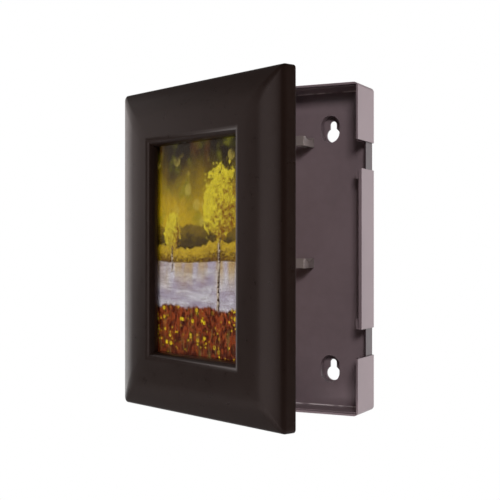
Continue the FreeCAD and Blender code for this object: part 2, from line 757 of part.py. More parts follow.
def make_screws(name, places, seat, shank_end):
    """Group of like screws, with round heads that lie on a seat and eight-sided shanks."""
    body = new_body(name)
    body.AllowCompound = True
    sketch = new_sketch(body, "heads", "XZ_Plane", seat)
    for x, z in places:
        circle(sketch, x, z, "dim.head_radius")
    pad(body, "heads_pad", sketch, "dim.head_height", reverse=True)

    sketch = new_sketch(body, "shanks", "XZ_Plane", seat)
    for x, z in places:
        octagon(sketch, x, z, "dim.screw_radius")
    pad(body, "shanks_pad", sketch, f"{shank_end} - {seat}")
    return body


def make_hinge_arm(name, up):
    """Cranked arm: a foot screwed behind the door, a web and a knuckle round the hinge pin."""
    body = new_body(name)
    outer = f"({PIN_X} - dim.knuckle_radius)"
    foot_back = f"({DOOR_BACK} - dim.foot_thick)"
    drop = "sqrt(dim.knuckle_radius ^ 2 - (dim.arm_web - dim.knuckle_radius) ^ 2)"
    sketch = new_sketch(body, "arm_section", "XY_Plane", f"{up} * {NOTCH_MIDDLE}")
    outline(sketch, [
        (outer, f"-{DOOR_BACK}"),
        (f"{outer} + dim.foot_length", f"-{DOOR_BACK}"),
        (f"{outer} + dim.foot_length", f"-{foot_back}"),
        (f"{outer} + dim.arm_web", f"-{foot_back}"),
        (f"{outer} + dim.arm_web", f"-{PIN_DEPTH} - {drop}", "dim.knuckle_radius", 1),
        (f"{PIN_X} + dim.knuckle_radius", f"-{PIN_DEPTH}", "dim.knuckle_radius", 1),
        (PIN_X, f"-{PIN_DEPTH} + dim.knuckle_radius", "dim.knuckle_radius", 1),
        (outer, f"-{PIN_DEPTH}"),
    ])
    circle(sketch, PIN_X, f"-{PIN_DEPTH}", "dim.pin_radius + dim.pin_fit")
    pad(body, "arm", sketch, "dim.notch_height - 2 * dim.arm_gap", symmetric=True)

    def inner_corner(edge):
        at_web = flat_at(edge, "X", value(f"{outer} + dim.arm_web"))
        return at_web and flat_at(edge, "Y", -value(foot_back))

    dress(body, "Fillet", "inner_corner", inner_corner, "dim.arm_fillet")

    sketch = new_sketch(body, "screw_holes", "XZ_Plane", foot_back)
    for x, z in foot_screw_places():
        if value(z) * up > 0:
            octagon(sketch, x, z, "(dim.screw_radius + dim.screw_fit)")
    pocket(body, "screw_holes_cut", sketch, "dim.foot_thick", reverse=True)
    return body


def make_magnet(name, up):
    """Disc magnet, standing slightly proud of the door's back."""
    body = new_body(name)
    sketch = new_sketch(body, "disc", "XZ_Plane", f"{DOOR_BACK} - dim.magnet_proud")
    circle(sketch, "dim.magnet_across", f"{up} * {MAGNET_UP}", "dim.magnet_radius")
    pad(body, "disc_pad", sketch, "dim.magnet_thick")
    return body


box_pieces = [make_back_box()]
for row_name, height in HOOK_ROWS.items():
    for column_name, column in HOOK_COLUMNS.items():
        box_pieces.append(make_hook(f"hook_{row_name}_{column_name}", column, height))
for level_name, up in (("upper", 1), ("lower", -1)):
    box_pieces.append(make_pin(f"hinge_pin_{level_name}", up))
    box_pieces.append(make_strike(f"strike_disc_{level_name}", up))

door_pieces = [
    make_door_frame(),
    make_liner(),
    make_sheet("glazing", GLASS_FACE, "dim.glass_thick"),
    make_sheet("picture_print", PRINT_FACE, "dim.print_thick"),
    make_backing(),
    make_screws("liner_screws", list(liner_screw_places()), DOOR_BACK,
                f"({LINER_SEAT} + dim.screw_length)"),
    make_screws("arm_screws", list(foot_screw_places()), f"({DOOR_BACK} - dim.foot_thick)",
                f"({LINER_SEAT} + dim.screw_length)"),
    make_screws("clip_screws", [(x, z) for x, z, _ in clip_places().values()],
                f"({LEDGE} - 2 * dim.clip_lift - dim.clip_thick)",
                f"({LEDGE} + dim.screw_length)"),
]
for clip_name, (clip_x, clip_z, along) in clip_places().items():
    door_pieces.append(make_clip(clip_name, clip_x, clip_z, along))
for level_name, up in (("upper", 1), ("lower", -1)):
    door_pieces.append(make_hinge_arm(f"hinge_arm_{level_name}", up))
    door_pieces.append(make_magnet(f"magnet_{level_name}", up))
for piece in door_pieces:
    swing(piece)
doc.recompute()

for item in doc.Objects:
    if "Invalid" in item.State or "Error" in item.State:
        raise RuntimeError(f"{item.Label}: {item.State}")

os.makedirs("parts", exist_ok=True)
for piece in box_pieces + door_pieces:
    if piece.Shape.isNull() or not piece.Shape.isValid():
        raise RuntimeError(f"{piece.Label}: the shape is not valid")
    piece.Shape.exportStep(f"parts/{piece.Label}.step")
    print(f"{piece.Label}: {len(piece.Shape.Solids)} solid, {piece.Shape.Volume / 1000:.2f} cm3")
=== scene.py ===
# %% [markdown]
# # A key box behind a picture frame
# The object is a shallow box that hangs on a wall and holds keys on hooks. Its door is a thick picture
# frame, hinged on the left and caught by two magnets. The frame of the model, which says where every
# piece is and how it moves, is loaded first and never changed. Everything after that is looks.
# Lengths are metres, X runs right, Y runs into the wall and Z runs up.

# %% Load the fixed frame
import json
import math

import bmesh
import bpy
from mathutils import Matrix, Vector


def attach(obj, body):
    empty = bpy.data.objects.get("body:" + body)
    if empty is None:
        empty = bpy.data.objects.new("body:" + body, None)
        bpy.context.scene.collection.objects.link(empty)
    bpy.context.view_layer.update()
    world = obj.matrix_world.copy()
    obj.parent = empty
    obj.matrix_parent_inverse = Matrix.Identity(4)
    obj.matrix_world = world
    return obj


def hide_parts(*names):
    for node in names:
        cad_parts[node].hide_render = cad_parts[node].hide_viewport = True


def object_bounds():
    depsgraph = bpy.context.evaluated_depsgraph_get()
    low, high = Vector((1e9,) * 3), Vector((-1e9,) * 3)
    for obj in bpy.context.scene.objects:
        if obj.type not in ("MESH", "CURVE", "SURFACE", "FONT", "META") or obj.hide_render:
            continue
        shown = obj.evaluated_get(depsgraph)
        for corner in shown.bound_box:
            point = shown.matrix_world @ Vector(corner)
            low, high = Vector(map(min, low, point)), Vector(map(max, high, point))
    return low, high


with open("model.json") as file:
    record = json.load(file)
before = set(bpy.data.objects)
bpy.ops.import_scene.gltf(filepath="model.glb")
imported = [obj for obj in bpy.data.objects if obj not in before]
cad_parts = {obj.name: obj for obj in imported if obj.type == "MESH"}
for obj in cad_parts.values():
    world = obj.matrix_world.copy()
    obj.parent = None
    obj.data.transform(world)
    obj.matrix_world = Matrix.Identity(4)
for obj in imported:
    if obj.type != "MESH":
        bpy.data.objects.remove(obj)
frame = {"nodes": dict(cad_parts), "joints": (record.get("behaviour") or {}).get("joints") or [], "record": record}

MM = 0.001
cad_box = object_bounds()
print("nodes:", len(frame["nodes"]), "size in mm:",
      [round(side / MM, 1) for side in cad_box[1] - cad_box[0]])

# %% [markdown]
# ## The camera
# A photograph of a box is read best from its straight edges. Fitted to its corners, this one was taken
# from about 72 cm away, 26 degrees to the right of the box and level with its middle, with a lens of
# about 74 mm on a 36 mm frame. A level camera keeps the upright edges upright.

# %% Place the camera
camera_turn = math.radians(26.2)
camera_distance = 721 * MM
camera_target = Vector((3.7, -32, -0.7)) * MM
towards_camera = Vector((math.sin(camera_turn), -math.cos(camera_turn), 0))

camera_lens = bpy.data.cameras.new("camera")
camera_lens.sensor_width = 36
camera_lens.lens = 73.9
camera = bpy.data.objects.new("camera", camera_lens)
camera.location = camera_target + towards_camera * camera_distance
camera.rotation_euler = (-towards_camera).to_track_quat("-Z", "Y").to_euler()
bpy.context.scene.collection.objects.link(camera)
bpy.context.scene.camera = camera
bpy.context.scene.view_settings.view_transform = "Standard"
print("camera at", [round(number, 4) for number in camera.location])

# %% [markdown]
# ## Arithmetic on shader sockets
# A finish is a small calculation that runs at every point of a surface: a noise, less a mask, times a
# strength. Written with nodes and links it is hard to read. So one class wraps an output socket and
# turns plus, minus and times into Math nodes, and another makes any other node in one line.

# %% Wrap sockets so that a finish reads like arithmetic
class Wire:
    """An output socket on which arithmetic can be written."""

    def __init__(self, finish, socket):
        self.finish = finish
        self.socket = socket

    def maths(self, operation, *numbers):
        return self.finish.node("ShaderNodeMath", {"operation": operation}, dict(enumerate(numbers)))

    def __add__(self, other):
        return self.maths("ADD", self, other)

    def __sub__(self, other):
        return self.maths("SUBTRACT", self, other)

    def __rsub__(self, other):
        return self.maths("SUBTRACT", other, self)

    def __mul__(self, other):
        return self.maths("MULTIPLY", self, other)

    def __truediv__(self, other):
        return self.maths("DIVIDE", self, other)

    def __pow__(self, other):
        return self.maths("POWER", self, other)

    __radd__ = __add__
    __rmul__ = __mul__

    def rise(self, low, high):
        """0 up to low, 1 from high, and a smooth step between."""
        return self.finish.node("ShaderNodeMapRange", {"interpolation_type": "SMOOTHSTEP"},
                                {"Value": self, "From Min": low, "From Max": high})


class Finish:
    """The node tree of a material or of the world, with one method that adds any node to it."""

    def __init__(self, owner):
        self.owner = owner
        owner.use_nodes = True
        self.tree = owner.node_tree
        self.tree.nodes.clear()

    def node(self, kind, settings=None, sockets=None, output=0):
        made = self.tree.nodes.new(kind)
        for name, setting in (settings or {}).items():
            setattr(made, name, setting)
        for name, given in (sockets or {}).items():
            if isinstance(given, Wire):
                self.tree.links.new(given.socket, made.inputs[name])
            else:
                made.inputs[name].default_value = given
        return Wire(self, made.outputs[output]) if made.outputs else None

    def noise(self, place, size, detail=2.0):
        """Cloudy noise of 0 to 1 whose lumps are about the given size."""
        return self.node("ShaderNodeTexNoise", None, {
            "Vector": place, "Scale": 1 / size, "Detail": detail})

    def blend(self, factor, first, second):
        """Colour that goes from the first to the second as the factor goes from 0 to 1."""
        return self.node("ShaderNodeMix", {"data_type": "RGBA"}, {0: factor, 6: first, 7: second}, 2)

    def bump(self, height, depth):
        """Normal that follows a height of 0 to 1, as deep as given."""
        return self.node("ShaderNodeBump", None, {"Height": height, "Distance": depth})


def paint(red, green, blue):
    """A colour as picked on a screen, from 0 to 255, turned into the linear colour that shaders use."""
    def linear(number):
        share = number / 255
        return share / 12.92 if share <= 0.04045 else ((share + 0.055) / 1.055) ** 2.4
    return (linear(red), linear(green), linear(blue), 1)


def shade(colour, factor):
    """The same colour, brighter or darker."""
    return (*(channel * factor for channel in colour[:3]), 1)


def axes(finish, place):
    """The three parts of a vector."""
    split = finish.tree.nodes.new("ShaderNodeSeparateXYZ")
    finish.tree.links.new(place.socket, split.inputs[0])
    return [Wire(finish, output) for output in split.outputs]


def size_of(number):
    """The number without its sign."""
    return number.maths("ABSOLUTE", number)


def band(number, low, high, soft):
    """1 between low and high, with soft borders inside them."""
    return number.rise(low, low + soft) * (1 - number.rise(high - soft, high))


print("shader helpers ready")

# %% [markdown]
# ## Moulded plastic
# The box, its hooks, the cover and the arms come out of steel moulds whose walls were spark-eroded, so
# the plastic has a fine even grain that spreads its gloss. A grain of about 0.35 mm in the bump gives
# that. A slow cloud in the colour and in the gloss keeps large faces from looking like paint on glass.

# %% Moulded plastic
plain = (1, 1, 1, 1)
warm = (1, 0.82, 0.8, 1)
# Where the box's painted shade and painted highlight go: its side notches, and the corners between its panel and
# its top and bottom walls.
notch_face = 81.5 * MM
notch_span = (54.35 * MM, 73.65 * MM)
corner_side = 81 * MM
corner_height = (109 * MM, 110.8 * MM)
corner_depth = (7.9 * MM, 9 * MM)
mark_edge = 0.2 * MM


def moulded_plastic(name, colour, gloss, grain_depth, grain_size=0.35 * MM, shine=plain, painted_light=None):
    """Plastic with an eroded grain. The gloss is a roughness, so a low number shines. The shine tints
    the reflections, and the last argument is a function that paints shade and highlights into the colour."""
    finish = Finish(bpy.data.materials.new(name))
    place = finish.node("ShaderNodeTexCoord", output=3)
    cloud = finish.noise(place, 45 * MM, 3)
    fine = finish.noise(place, 6 * MM, 4)
    grain = finish.noise(place, grain_size, 3)
    mottle = (cloud * 0.6 + fine * 0.4).rise(0.3, 0.7)
    tone = finish.blend(mottle, shade(colour, 0.93), shade(colour, 1.07))
    shader = finish.node("ShaderNodeBsdfPrincipled", None, {
        "Base Color": painted_light(finish, place, tone) if painted_light else tone,
        "Roughness": gloss + (fine - 0.5) * 0.12 + (grain - 0.5) * 0.06,
        "Specular IOR Level": 0.5,
        "Specular Tint": shine,
        "Normal": finish.bump(grain, grain_depth),
    })
    finish.node("ShaderNodeOutputMaterial", None, {"Surface": shader})
    return finish.owner


def box_painted_light(finish, place, tone):
    """Painted shade and a painted highlight on the box. The notches are painted darker, as shade in their
    recesses, and the long corners between the panel and the top and bottom walls are painted pale, as a
    highlight on their small fillets."""
    side, depth, height = axes(finish, place)
    side, height = size_of(side), size_of(height)
    # Painted shade: the notches are darkened as if shaded inside their recesses.
    notch_shade = side.rise(notch_face, notch_face + mark_edge) * band(height, *notch_span, 0.15 * MM)
    # Painted highlight: a pale line on the corners between the panel and the top and bottom walls, as light
    # catching their small fillets.
    corner = band(height, *corner_height, mark_edge) * band(depth * -1, *corner_depth, mark_edge)
    corner = corner * (1 - side.rise(corner_side - mark_edge, corner_side))
    corner = corner * finish.noise(place, 14 * MM).rise(0.3, 0.5)
    # The painted shade goes into the colour first, then the painted highlight.
    tone = finish.blend(notch_shade * 0.9, tone, paint(62, 50, 54))
    return finish.blend(corner, tone, paint(226, 214, 216))


# The box's colour carries painted shade in its notches and a painted highlight along its inner corners.
box_plastic = moulded_plastic("box_plastic", paint(134, 116, 121), 0.32, 0.008 * MM, painted_light=box_painted_light)
hook_plastic = moulded_plastic("hook_plastic", paint(146, 133, 130), 0.3, 0.006 * MM)
door_plastic = moulded_plastic("door_plastic", paint(25, 15, 11), 0.3, 0.003 * MM, 0.5 * MM, warm)
cover_plastic = moulded_plastic("cover_plastic", paint(40, 31, 29), 0.5, 0.02 * MM)
arm_plastic = moulded_plastic("arm_plastic", paint(70, 58, 57), 0.42, 0.012 * MM)
print("plastics:", box_plastic.name, hook_plastic.name, door_plastic.name, cover_plastic.name)

# %% [markdown]
# ## Metal
# Pins are drawn wire, screws and discs are zinc plated, and the magnets and clips are nickel plated.
# All are metal, and differ in tint, in gloss and in the way their fine scratches run. Stretching a
# noise along one axis turns lumps into scratches.

# %% Metal
def plated_metal(name, colour, gloss, scratch=(1, 1, 1), scratch_depth=0.0015 * MM):
    """Metal with fine scratches, which run along the axis with the smallest scale."""
    finish = Finish(bpy.data.materials.new(name))
    place = finish.node("ShaderNodeTexCoord", output=3)
    stretched = finish.node("ShaderNodeMapping", None, {"Vector": place, "Scale": scratch})
    scratches = finish.noise(stretched, 0.25 * MM, 3)
    bloom = finish.noise(place, 2.5 * MM, 3)
    shader = finish.node("ShaderNodeBsdfPrincipled", None, {
        "Base Color": finish.blend(bloom.rise(0.3, 0.7), shade(colour, 0.85), colour),
        "Metallic": 1.0,
        "Roughness": gloss + (scratches - 0.5) * 0.12 + (bloom - 0.5) * 0.08,
        "Normal": finish.bump(scratches, scratch_depth),
    })
    finish.node("ShaderNodeOutputMaterial", None, {"Surface": shader})
    return finish.owner


pin_steel = plated_metal("pin_steel", paint(188, 188, 190), 0.28, (1, 1, 0.05))
disc_steel = plated_metal("disc_steel", paint(196, 197, 200), 0.34, (0.05, 1, 1))
screw_zinc = plated_metal("screw_zinc", paint(190, 188, 184), 0.3)
clip_nickel = plated_metal("clip_nickel", paint(200, 196, 190), 0.26, (1, 1, 0.06))
magnet_nickel = plated_metal("magnet_nickel", paint(206, 206, 208), 0.16)
print("metals:", pin_steel.name, disc_steel.name, screw_zinc.name, clip_nickel.name, magnet_nickel.name)

# %% [markdown]
# ## Hardboard
# The board behind the print is pressed wood fibre: brown, dull and slightly hairy. Two noises squeezed
# along different axes look like short fibres that cross, and a third gives the darker specks.

# %% Hardboard
def pressed_fibre():
    finish = Finish(bpy.data.materials.new("hardboard"))
    place = finish.node("ShaderNodeTexCoord", output=3)
    level = finish.node("ShaderNodeMapping", None, {"Vector": place, "Scale": (0.25, 0.25, 1.6)})
    upright = finish.node("ShaderNodeMapping", None, {"Vector": place, "Scale": (1.6, 1.6, 0.25)})
    fibres = finish.noise(level, 0.7 * MM, 3) * 0.5 + finish.noise(upright, 0.8 * MM, 3) * 0.5
    specks = finish.noise(place, 1.6 * MM, 4).rise(0.62, 0.7)
    brown = finish.blend(fibres.rise(0.38, 0.62), paint(92, 66, 46), paint(134, 101, 72))
    shader = finish.node("ShaderNodeBsdfPrincipled", None, {
        "Base Color": finish.blend(specks * 0.6, brown, paint(58, 40, 28)),
        "Roughness": 0.78 + (fibres - 0.5) * 0.2,
        "Specular IOR Level": 0.25,
        "Normal": finish.bump(fibres, 0.05 * MM),
    })
    finish.node("ShaderNodeOutputMaterial", None, {"Surface": shader})
    return finish.owner


hardboard = pressed_fibre()
print("board:", hardboard.name)

# %% [markdown]
# ## Clear glazing
# A thin clear sheet hides nothing, but it mirrors more and more as it is seen from the side. Mixing a
# transparent shader with a glossy one by the Fresnel law gives just that, and lets lamplight reach the
# print behind it, which real refraction would only do through slow and noisy caustics. The Fresnel node
# itself would mirror fully at the sheet's rear face, as inside solid glass, so the law is written out
# from the Facing output, which is the same on both faces: 2 percent head on, as on coated sheet, and
# all of it at grazing.

# %% Clear glazing
head_on = 0.02


def clear_sheet():
    finish = Finish(bpy.data.materials.new("clear_sheet"))
    place = finish.node("ShaderNodeTexCoord", output=3)
    ripple = finish.noise(place, 30 * MM, 1)
    wavy = finish.bump(ripple, 0.05 * MM)
    slant = finish.node("ShaderNodeLayerWeight", None, {"Blend": 0.5, "Normal": wavy}, 1)
    mirror = slant ** 5 * (1 - head_on) + head_on
    clear = finish.node("ShaderNodeBsdfTransparent", None, {"Color": (0.97, 0.975, 0.97, 1)})
    gloss = finish.node("ShaderNodeBsdfPrincipled", None, {
        "Base Color": (1, 1, 1, 1), "Metallic": 1.0, "Roughness": 0.06, "Normal": wavy})
    shader = finish.node("ShaderNodeMixShader", None, {0: mirror, 1: clear, 2: gloss})
    finish.node("ShaderNodeOutputMaterial", None, {"Surface": shader})
    return finish.owner


glazing_sheet = clear_sheet()
print("glazing:", glazing_sheet.name)

# %% [markdown]
# ## The print
# Key boxes are sold with some stock picture behind the glazing. This one is drawn here from nothing but
# noise and smooth steps, in layers from back to front, as stage scenery is painted: a dark wood at the
# top, a glowing clearing, hills, a misty lake, and rusty heather with small yellow flowers. Its places
# are in millimetres from the middle of the sheet, read from the sheet's own UV map.

# %% Draw the landscape
print_width = 102
print_height = 152
past_border = (60, 70)


class Landscape(Finish):
    """A picture in layers. Across and up are millimetres from the middle of the sheet."""

    def __init__(self, owner):
        super().__init__(owner)
        sheet = self.node("ShaderNodeTexCoord", output=2)
        split = self.tree.nodes.new("ShaderNodeSeparateXYZ")
        self.tree.links.new(sheet.socket, split.inputs[0])
        self.across = (Wire(self, split.outputs[0]) - 0.5) * print_width
        self.up = (Wire(self, split.outputs[1]) - 0.5) * print_height

    def spot(self, squeeze_across=1.0, squeeze_up=1.0, shift=0.0):
        """The place on the sheet as a vector, for the noises."""
        return self.node("ShaderNodeCombineXYZ", None, {
            0: self.across * squeeze_across, 1: self.up * squeeze_up, 2: shift})

    def ridge(self, level, swing, size, shift):
        """Height of an uneven skyline above the middle of the sheet."""
        return level + (self.noise(self.spot(1, 0, shift), size, 3) - 0.5) * swing

    def over(self, picture, mask, colour):
        """The picture with a new layer on it where the mask is 1."""
        return self.blend(mask, picture, colour)

    def dabs(self, size, shift, tall=1.0):
        """Brush dabs of the given size, each with its own tone of 0 to 1, for leaves and blossom."""
        wobble = self.noise(self.spot(1, 1, shift + 0.5), size, 2)
        place = self.node("ShaderNodeCombineXYZ", None, {
            0: self.across + wobble * size * 0.8, 1: self.up / tall + wobble * size * 0.8, 2: shift})
        cells = self.node("ShaderNodeTexVoronoi", None, {"Vector": place, "Scale": 1 / size}, "Color")
        return axes(self, cells)[0]


def draw_wood(picture):
    """Dark olive wood that fades down into a golden clearing, with soft discs of light."""
    haze = picture.noise(picture.spot(1, 0.7, 3), 26, 3)
    glow = (picture.up * -1 + 72 + (haze - 0.5) * 60).rise(0, 62)
    wood = picture.blend(glow, paint(40, 26, 4), paint(232, 190, 26))
    leaves = picture.noise(picture.spot(1, 1, 9), 15, 2).rise(0.5, 0.72)
    wood = picture.over(wood, leaves * 0.6, paint(150, 146, 22))
    shadow = picture.noise(picture.spot(1.6, 0.5, 21), 22, 2).rise(0.55, 0.75)
    wood = picture.over(wood, shadow * 0.55, paint(104, 56, 12))
    cells = picture.node("ShaderNodeTexVoronoi", None, {
        "Vector": picture.spot(1, 1, 5), "Scale": 1 / 13, "Randomness": 1.0})
    discs = (1 - cells.rise(0.26, 0.34)) * picture.noise(picture.spot(1, 1, 14), 20, 1).rise(0.5, 0.62)
    return picture.over(wood, discs * 0.45, paint(240, 214, 96))


def draw_hills(picture, sky):
    """Two ridges of autumn trees behind the lake, with round tops and shade between them."""
    layers = sky
    for level, swing, size, shift, dark, light in (
        (16, 24, 30, 31, paint(74, 56, 14), paint(150, 120, 30)),
        (2, 20, 20, 52, paint(104, 62, 12), paint(236, 196, 44)),
    ):
        lumps = picture.noise(picture.spot(1, 0, shift + 5), 7, 2)
        top = picture.ridge(level, swing, size, shift) + (lumps - 0.5) * 7
        ridge = 1 - (picture.up - top).rise(-0.8, 1.0)
        lit = 1 - (top - picture.up).rise(0, 13)
        leaf = picture.dabs(size * 0.06, shift + 8)
        tone = (lit * 0.75 + leaf * 0.5 + (lumps - 0.5) * 0.6).rise(0.1, 1.1)
        layers = picture.over(layers, ridge, picture.blend(tone, dark, light))
    return layers


def draw_lake(picture, layers):
    """A pale lilac sheet of mist and water, with level ripples and the gold of the far bank in it."""
    shore = picture.ridge(-9, 5, 26, 70)
    water = 1 - (picture.up - shore).rise(-0.6, 0.8)
    mist = picture.noise(picture.spot(0.35, 1, 77), 7, 3)
    ripple = picture.noise(picture.spot(0.14, 1.6, 81), 1.4, 3)
    pale = picture.blend(mist.rise(0.3, 0.7), paint(196, 180, 202), paint(244, 238, 246))
    depth = (shore - picture.up).rise(0, 24)
    gleam = picture.noise(picture.spot(1, 0.16, 84), 9, 2).rise(0.38, 0.62)
    pale = picture.over(pale, (1 - depth) * gleam * 0.75, paint(228, 184, 70))
    pale = picture.over(pale, ripple.rise(0.54, 0.64) * 0.35, paint(150, 116, 96))
    return picture.over(layers, water, pale)


def draw_trees(picture, layers):
    """Two slim birches, one large on the right and one small on the left, with round golden crowns."""
    for trunk, foot, head, crown, shift in ((-31, -16, 12, 11, 97), (21, -42, 30, 21, 90)):
        bend = picture.noise(picture.spot(0, 1, shift), 20, 2)
        lean = trunk + (picture.up - foot) * 0.05 + (bend - 0.5) * 5
        side = size_of(picture.across - lean)
        width = crown * 0.055 + 0.35 - (picture.up - foot) * 0.006
        stem = (1 - (side - width).rise(-0.3, 0.4)) * (picture.up - foot).rise(-1, 1)
        stem = stem * (1 - (picture.up - head).rise(-2, 6))
        bark = picture.noise(picture.spot(0.5, 2, shift + 2), 2.4, 3)
        bark = (bark - (picture.across - lean) * 0.12).rise(0.36, 0.6)
        layers = picture.over(layers, stem, picture.blend(bark, paint(74, 44, 24), paint(226, 206, 184)))
        out_across = (picture.across - lean) / crown
        out_up = (picture.up - head) / (crown * 1.3)
        clumps = picture.noise(picture.spot(1, 1, shift + 4), crown * 0.28, 2)
        ragged = picture.noise(picture.spot(1, 1, shift + 6), 2.2, 3)
        disc = (out_across * out_across + out_up * out_up) ** 0.5
        edge = disc + (clumps - 0.5) * 1.1 + (ragged - 0.5) * 0.5
        leaf = picture.dabs(crown * 0.075, shift + 7, 0.8)
        facing = out_up * 0.35 - out_across * 0.35
        sun = (facing + (clumps - 0.5) * -1.6 + leaf * 0.55 + 0.25).rise(-0.1, 0.9)
        gold = picture.blend(sun, paint(150, 88, 6), paint(255, 232, 54))
        layers = picture.over(layers, (1 - edge.rise(0.8, 0.98)) * 0.97, gold)
    return layers


def draw_heather(picture, layers):
    """Rusty heather in front, with stalks that stand up and small yellow flowers."""
    top = picture.ridge(-40, 20, 34, 110)
    fringe = (picture.noise(picture.spot(3, 0.5, 112), 4, 3) - 0.5) * 5
    ground = 1 - (picture.up - top + fringe).rise(-1, 1)
    tufts = picture.noise(picture.spot(1.8, 0.8, 116), 3.5, 4) * 0.6 + picture.dabs(1.6, 118, 1.8) * 0.4
    rust = picture.blend(tufts.rise(0.3, 0.7), paint(70, 20, 10), paint(186, 84, 40))
    nearer = (top - picture.up).rise(4, 34)
    rust = picture.over(rust, nearer * 0.4, paint(84, 30, 16))
    stalks = picture.noise(picture.spot(3.2, 0.22, 121), 3, 2).rise(0.6, 0.68)
    rust = picture.over(rust, stalks * 0.55, paint(176, 160, 84))
    layers = picture.over(layers, ground, rust)
    for size, reach, shift in ((6.5, 0.3, 130), (4.2, 0.26, 141)):
        cells = picture.node("ShaderNodeTexVoronoi", None, {
            "Vector": picture.spot(1, 1.15, shift), "Scale": 1 / size, "Randomness": 1.0})
        patch = picture.noise(picture.spot(1, 1, shift + 3), 18, 2).rise(0.42, 0.55)
        flower = (1 - cells.rise(reach - 0.09, reach)) * patch * ground
        petal = picture.blend(cells.rise(0.02, 0.16), paint(226, 150, 8), paint(252, 222, 30))
        layers = picture.over(layers, flower, petal)
    return layers


def stock_picture():
    picture = Landscape(bpy.data.materials.new("stock_picture"))
    layers = draw_wood(picture)
    layers = draw_hills(picture, layers)
    layers = draw_lake(picture, layers)
    layers = draw_trees(picture, layers)
    layers = draw_heather(picture, layers)
    layers = picture.over(layers, picture.across.rise(*past_border), paint(232, 230, 224))
    paper = picture.noise(picture.spot(), 0.4, 2)
    shader = picture.node("ShaderNodeBsdfPrincipled", None, {
        "Base Color": layers,
        "Roughness": 0.32 + (paper - 0.5) * 0.08,
        "Specular IOR Level": 0.4,
    })
    picture.node("ShaderNodeOutputMaterial", None, {"Surface": shader})
    return picture.owner


landscape = stock_picture()
print("print:", landscape.name, "with", len(landscape.node_tree.nodes), "nodes")

# %% [markdown]
# ## From a bmesh to a piece
# Every new piece ends in the same way: its mesh is made an object at the origin, gets its finish, rides
# on its body, and the node it stands for is hidden and named in a print. Shading is smooth except across
# creases, and the large flat faces are given the say over the normals beside them, or their shading would
# bend at each edge.

# %% Finish a piece
def settle(piece):
    """Makes what the modifiers show the piece's own mesh."""
    shown = piece.evaluated_get(bpy.context.evaluated_depsgraph_get())
    final = bpy.data.meshes.new_from_object(shown)
    piece.modifiers.clear()
    piece.data = final


def make_piece(name, bm, body, slot, finish, replaced, crease=35):
    """Turns a bmesh in the row frame into a finished piece on a body."""
    mesh = bpy.data.meshes.new(name)
    bm.to_mesh(mesh)
    bm.free()
    mesh.materials.append(finish)
    mesh.shade_smooth()
    mesh.set_sharp_from_angle(angle=math.radians(crease))
    piece = bpy.data.objects.new(name, mesh)
    bpy.context.scene.collection.objects.link(piece)
    piece.modifiers.new("even_shading", "WEIGHTED_NORMAL").keep_sharp = True
    settle(piece)
    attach(piece, body)
    for node in replaced:
        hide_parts(node)
    print(f"{name}: {len(piece.data.polygons)} faces for {', '.join(replaced) or 'nothing'}")
    return piece


# %% [markdown]
# ## Pieces that keep the frame's shape
# The frame's meshes are right in shape but are loose triangles with knife edges. A merged copy joins
# the triangles, makes each flat face whole again, and gets small bevels, because a moulded or cut edge
# is never quite sharp and it is that narrow band that catches the light.

# %% Copy and soften a node
def merged_copy(node):
    """The node's mesh with its triangles joined and its flat faces whole."""
    bm = bmesh.new()
    bm.from_mesh(frame["nodes"][node].data)
    bmesh.ops.remove_doubles(bm, verts=bm.verts, dist=0.002 * MM)
    bmesh.ops.dissolve_limit(bm, angle_limit=math.radians(0.5), verts=bm.verts, edges=bm.edges)
    return bm


def soften(bm, width, angle=50):
    """Bevels the edges that turn by more than an angle."""
    sharp = [edge for edge in bm.edges
             if edge.is_manifold and edge.calc_face_angle() > math.radians(angle)]
    bmesh.ops.bevel(bm, geom=sharp, offset=width, offset_type="OFFSET", segments=2, profile=0.5,
                    affect="EDGES", material=-1, clamp_overlap=True)
    return len(sharp)


bodies = {node: body for body, nodes in frame["record"]["behaviour"]["bodies"].items() for node in nodes}
kept_shapes = {
    "back_box": ("box_shell", "box", box_plastic, 0.25 * MM),
    "door_liner": ("cover_plate", "liner", cover_plastic, 0.2 * MM),
    "backing_board": ("fibre_board", "board", hardboard, 0.15 * MM),
    "hinge_arm_upper": ("arm_upper", "arm", arm_plastic, 0.25 * MM),
    "hinge_arm_lower": ("arm_lower", "arm", arm_plastic, 0.25 * MM),
    "clip_top": ("turn_clip_top", "clip", clip_nickel, 0.12 * MM),
    "clip_bottom": ("turn_clip_bottom", "clip", clip_nickel, 0.12 * MM),
    "clip_left": ("turn_clip_left", "clip", clip_nickel, 0.12 * MM),
    "clip_right": ("turn_clip_right", "clip", clip_nickel, 0.12 * MM),
    "hinge_pin_upper": ("pin_upper", "pin", pin_steel, 0.2 * MM),
    "hinge_pin_lower": ("pin_lower", "pin", pin_steel, 0.2 * MM),
    "strike_disc_upper": ("steel_disc_upper", "steel_disc", disc_steel, 0.15 * MM),
    "strike_disc_lower": ("steel_disc_lower", "steel_disc", disc_steel, 0.15 * MM),
    "magnet_upper": ("disc_magnet_upper", "magnet", magnet_nickel, 0.25 * MM),
    "magnet_lower": ("disc_magnet_lower", "magnet", magnet_nickel, 0.25 * MM),
}
for row in ("upper", "lower"):
    for column in ("left", "middle", "right"):
        kept_shapes[f"hook_{row}_{column}"] = (
            f"key_hook_{row}_{column}", "hook", hook_plastic, 0.3 * MM)
for node, (name, slot, finish, width) in kept_shapes.items():
    copy = merged_copy(node)
    softened = soften(copy, width)
    make_piece(name, copy, bodies[node], slot, finish, [node])
    print(f"  {softened} edges softened")

# %% [markdown]
# ## A door that is drawn shut
# In the photograph the door stands 24 degrees open. Its pieces are easier to draw square to the axes,
# so they are drawn shut and then swung about the hinge pin. The same turn, taken backwards, measures
# the nodes of the frame as if the door were shut.

